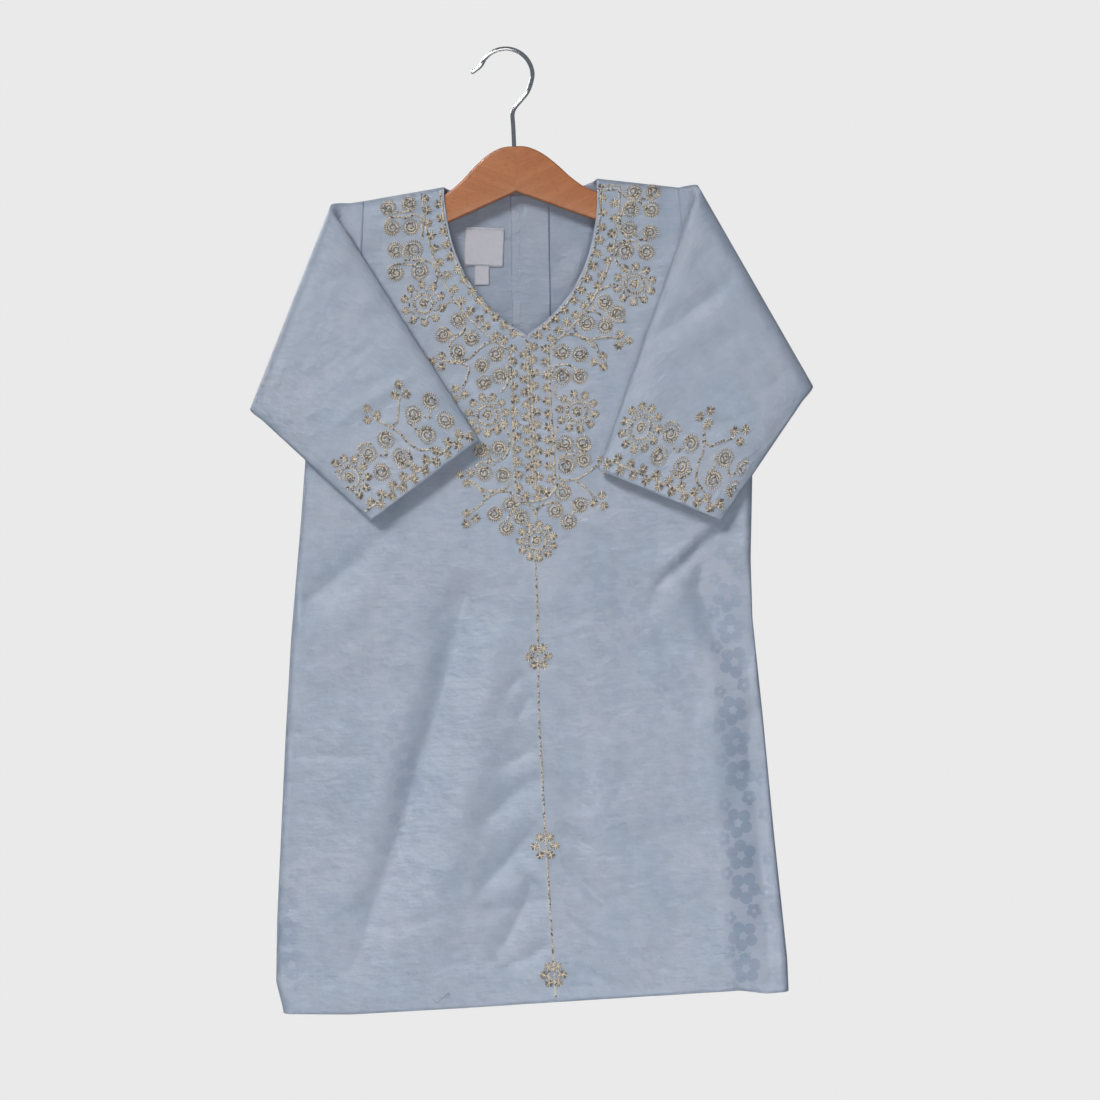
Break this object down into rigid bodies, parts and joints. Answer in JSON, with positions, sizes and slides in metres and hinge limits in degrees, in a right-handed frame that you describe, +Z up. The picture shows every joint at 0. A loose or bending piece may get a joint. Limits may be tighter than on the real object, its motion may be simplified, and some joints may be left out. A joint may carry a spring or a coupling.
{
  "type": "child's jalabiya on a wooden hanger",
  "caption": "Short-sleeved child's tunic with a V neck and stitched trim, hung flat on a wooden hanger by its wire hook, sleeves folded to the front.",
  "frame": {"origin": "on the inner side of the hook's wire at its crown, on the line of its stem, where a rail bears", "axes": "+Z up, the front of the garment faces -Y, +X to the right of someone who faces the front"},
  "size_m": [0.3666, 0.0279, 0.6247],
  "materials": {
    "cloth": "soft matt cotton with a tone-on-tone woven flower, pale grey blue",
    "label_tape": "smooth woven tape, off white, bare",
    "button": "moulded, grey blue",
    "wood": "lacquered, fine straight grain",
    "hook_wire": "bright nickel-plated wire"
  },
  "bodies": {
    "root": {"front": "cloth", "back": "cloth", "sleeve_left": "cloth", "sleeve_right": "cloth", "back_placket": "cloth", "label": "label_tape", "size_tab": "label_tape", "button": "button", "hanger_left": "wood", "hanger_right": "wood", "hanger_hook": "hook_wire"}
  },
  "joints": []
}
